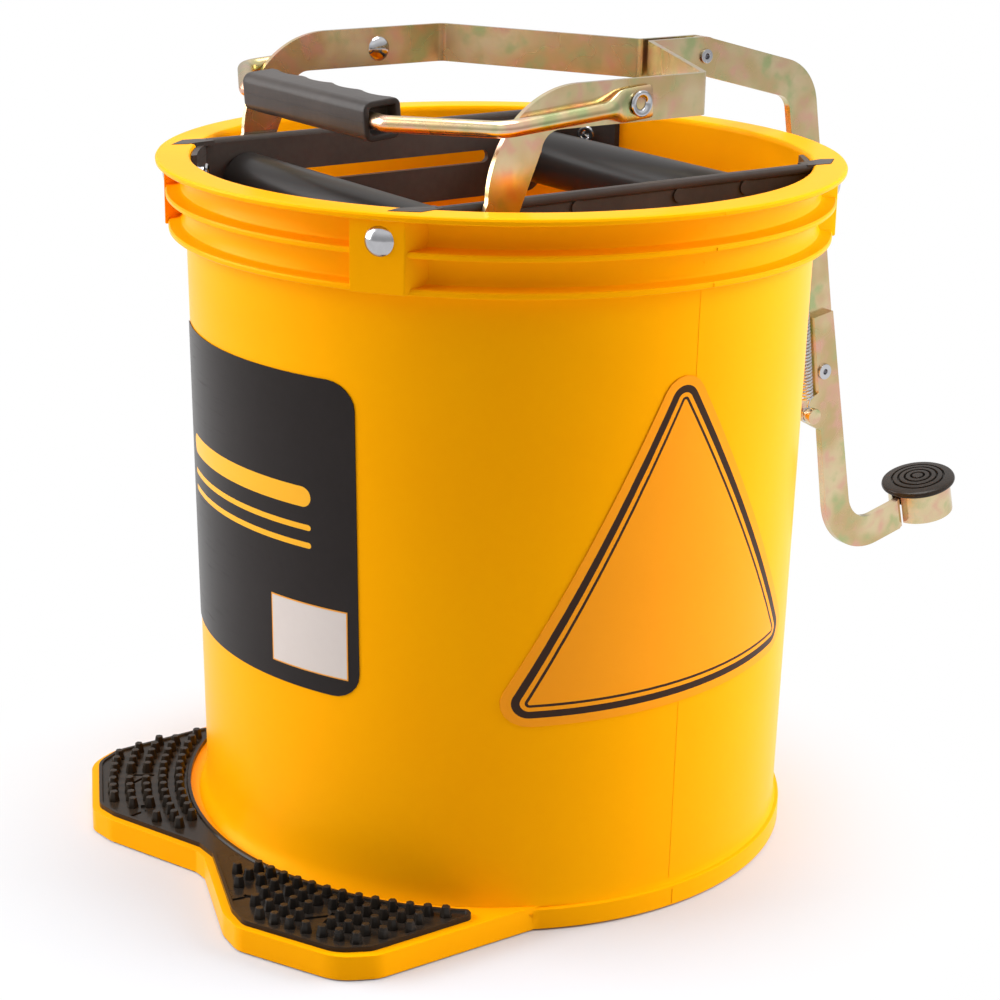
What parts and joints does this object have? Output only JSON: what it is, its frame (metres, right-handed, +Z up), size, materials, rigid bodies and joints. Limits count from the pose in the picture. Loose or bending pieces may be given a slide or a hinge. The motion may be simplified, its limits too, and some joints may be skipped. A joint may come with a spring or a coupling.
{
  "type": "mop bucket with pedal wringer",
  "caption": "Round plastic mop bucket with a foot platform and a foot-pedal roller wringer: pressing the pedal pulls one roller towards the other. The carry handle folds over the rollers.",
  "frame": {"origin": "centre of the bucket's underside, on the bucket's axis, at floor level", "axes": "+Z up; +X towards the foot pedal, -X towards the foot platform; the rollers run along Y"},
  "size_m": [0.4871, 0.3108, 0.3635],
  "materials": {
    "bucket_plastic": "moulded yellow plastic with a soft sheen",
    "black_plastic": "moulded charcoal plastic, satin",
    "roller_plastic": "smooth charcoal plastic tube",
    "black_film": "bare black film, slightly glossy",
    "paper": "bare pale paper",
    "orange_film": "bare orange film",
    "rivet_chrome": "polished rivet head",
    "bright_steel": "bright steel",
    "yellow_zinc": "yellow zinc plating with a faint iridescence"
  },
  "bodies": {
    "bucket": {"bucket_shell": "bucket_plastic", "foot_platform": "bucket_plastic", "foot_pad": "black_plastic", "name_panel": "black_film", "paper_patch": "paper", "side_sticker": "orange_film", "rim_rivet_front_left": "rivet_chrome", "rim_rivet_back_left": "rivet_chrome", "rim_rivet_front_right": "rivet_chrome", "rim_rivet_back_right": "rivet_chrome", "side_plate_front": "black_plastic", "side_plate_back": "black_plastic", "fixed_axle": "bright_steel", "pivot_bracket": "yellow_zinc", "pivot_pin": "bright_steel", "bracket_screw_front": "bright_steel", "bracket_screw_back": "bright_steel"},
    "fixed_roll": {"fixed_roller": "roller_plastic", "fixed_cap_front": "black_plastic", "fixed_cap_back": "black_plastic"},
    "squeeze_slide": {"squeeze_axle": "bright_steel", "axle_clip_front": "bright_steel", "axle_clip_back": "bright_steel"},
    "squeeze_roll": {"squeeze_roller": "roller_plastic", "squeeze_cap_front": "black_plastic", "squeeze_cap_back": "black_plastic"},
    "pedal": {"pedal_arm": "yellow_zinc", "pedal_lever": "yellow_zinc", "lever_rivet": "yellow_zinc", "spring_stud": "yellow_zinc", "pedal_tread": "black_plastic"},
    "yoke": {"strap_front": "yellow_zinc", "strap_back": "yellow_zinc", "clevis_rivet": "yellow_zinc", "handle_rivet_front": "yellow_zinc", "handle_rivet_back": "yellow_zinc"},
    "handle": {"handle_rod": "yellow_zinc", "handle_grip": "black_plastic"},
    "spring_top": {"spring_hook_top": "bright_steel", "return_spring": "bright_steel"},
    "spring_foot": {"spring_hook_low": "bright_steel"}
  },
  "joints": [
    {"name": "pedal_press", "type": "hinge", "parent": "bucket", "child": "pedal", "pos_m": [0.152, 0, 0.236], "axis": [0, 1, 0], "range_deg": [0, 28], "stiffness_Nm_per_rad": 1.6, "springref_deg": -34.38},
    {"name": "yoke_pivot", "type": "hinge", "parent": "pedal", "child": "yoke", "pos_m": [0.1145, 0, 0.3545], "axis": [0, 1, 0], "range_deg": [-29, 0]},
    {"name": "squeeze_travel", "type": "slide", "parent": "bucket", "child": "squeeze_slide", "axis": [1, 0, 0], "range_m": [0, 0.0608]},
    {"name": "squeeze_spin", "type": "hinge", "parent": "squeeze_slide", "child": "squeeze_roll", "pos_m": [-0.08, 0, 0.2975], "axis": [0, 1, 0], "continuous": true},
    {"name": "fixed_spin", "type": "hinge", "parent": "bucket", "child": "fixed_roll", "pos_m": [0.08, 0, 0.2975], "axis": [0, 1, 0], "continuous": true},
    {"name": "handle_swing", "type": "hinge", "parent": "yoke", "child": "handle", "pos_m": [-0.0035, 0, 0.3535], "axis": [0, 1, 0], "range_deg": [0, 110]},
    {"name": "spring_swing", "type": "hinge", "parent": "bucket", "child": "spring_top", "pos_m": [0.1725, -0.0102, 0.288], "axis": [0, 1, 0], "range_deg": [0, 17]},
    {"name": "spring_stretch", "type": "slide", "parent": "spring_top", "child": "spring_foot", "axis": [0.1367, 0, -0.9906], "range_m": [0, 0.0106], "deforming": ["return_spring"]}
  ],
  "couplings": [
    {"joint": "yoke_pivot", "follows": "pedal_press", "ratio": -1.03},
    {"joint": "squeeze_travel", "follows": "pedal_press", "m_per_rad": 0.1241},
    {"joint": "spring_swing", "follows": "pedal_press", "ratio": 0.591},
    {"joint": "spring_stretch", "follows": "pedal_press", "m_per_rad": 0.0213}
  ]
}
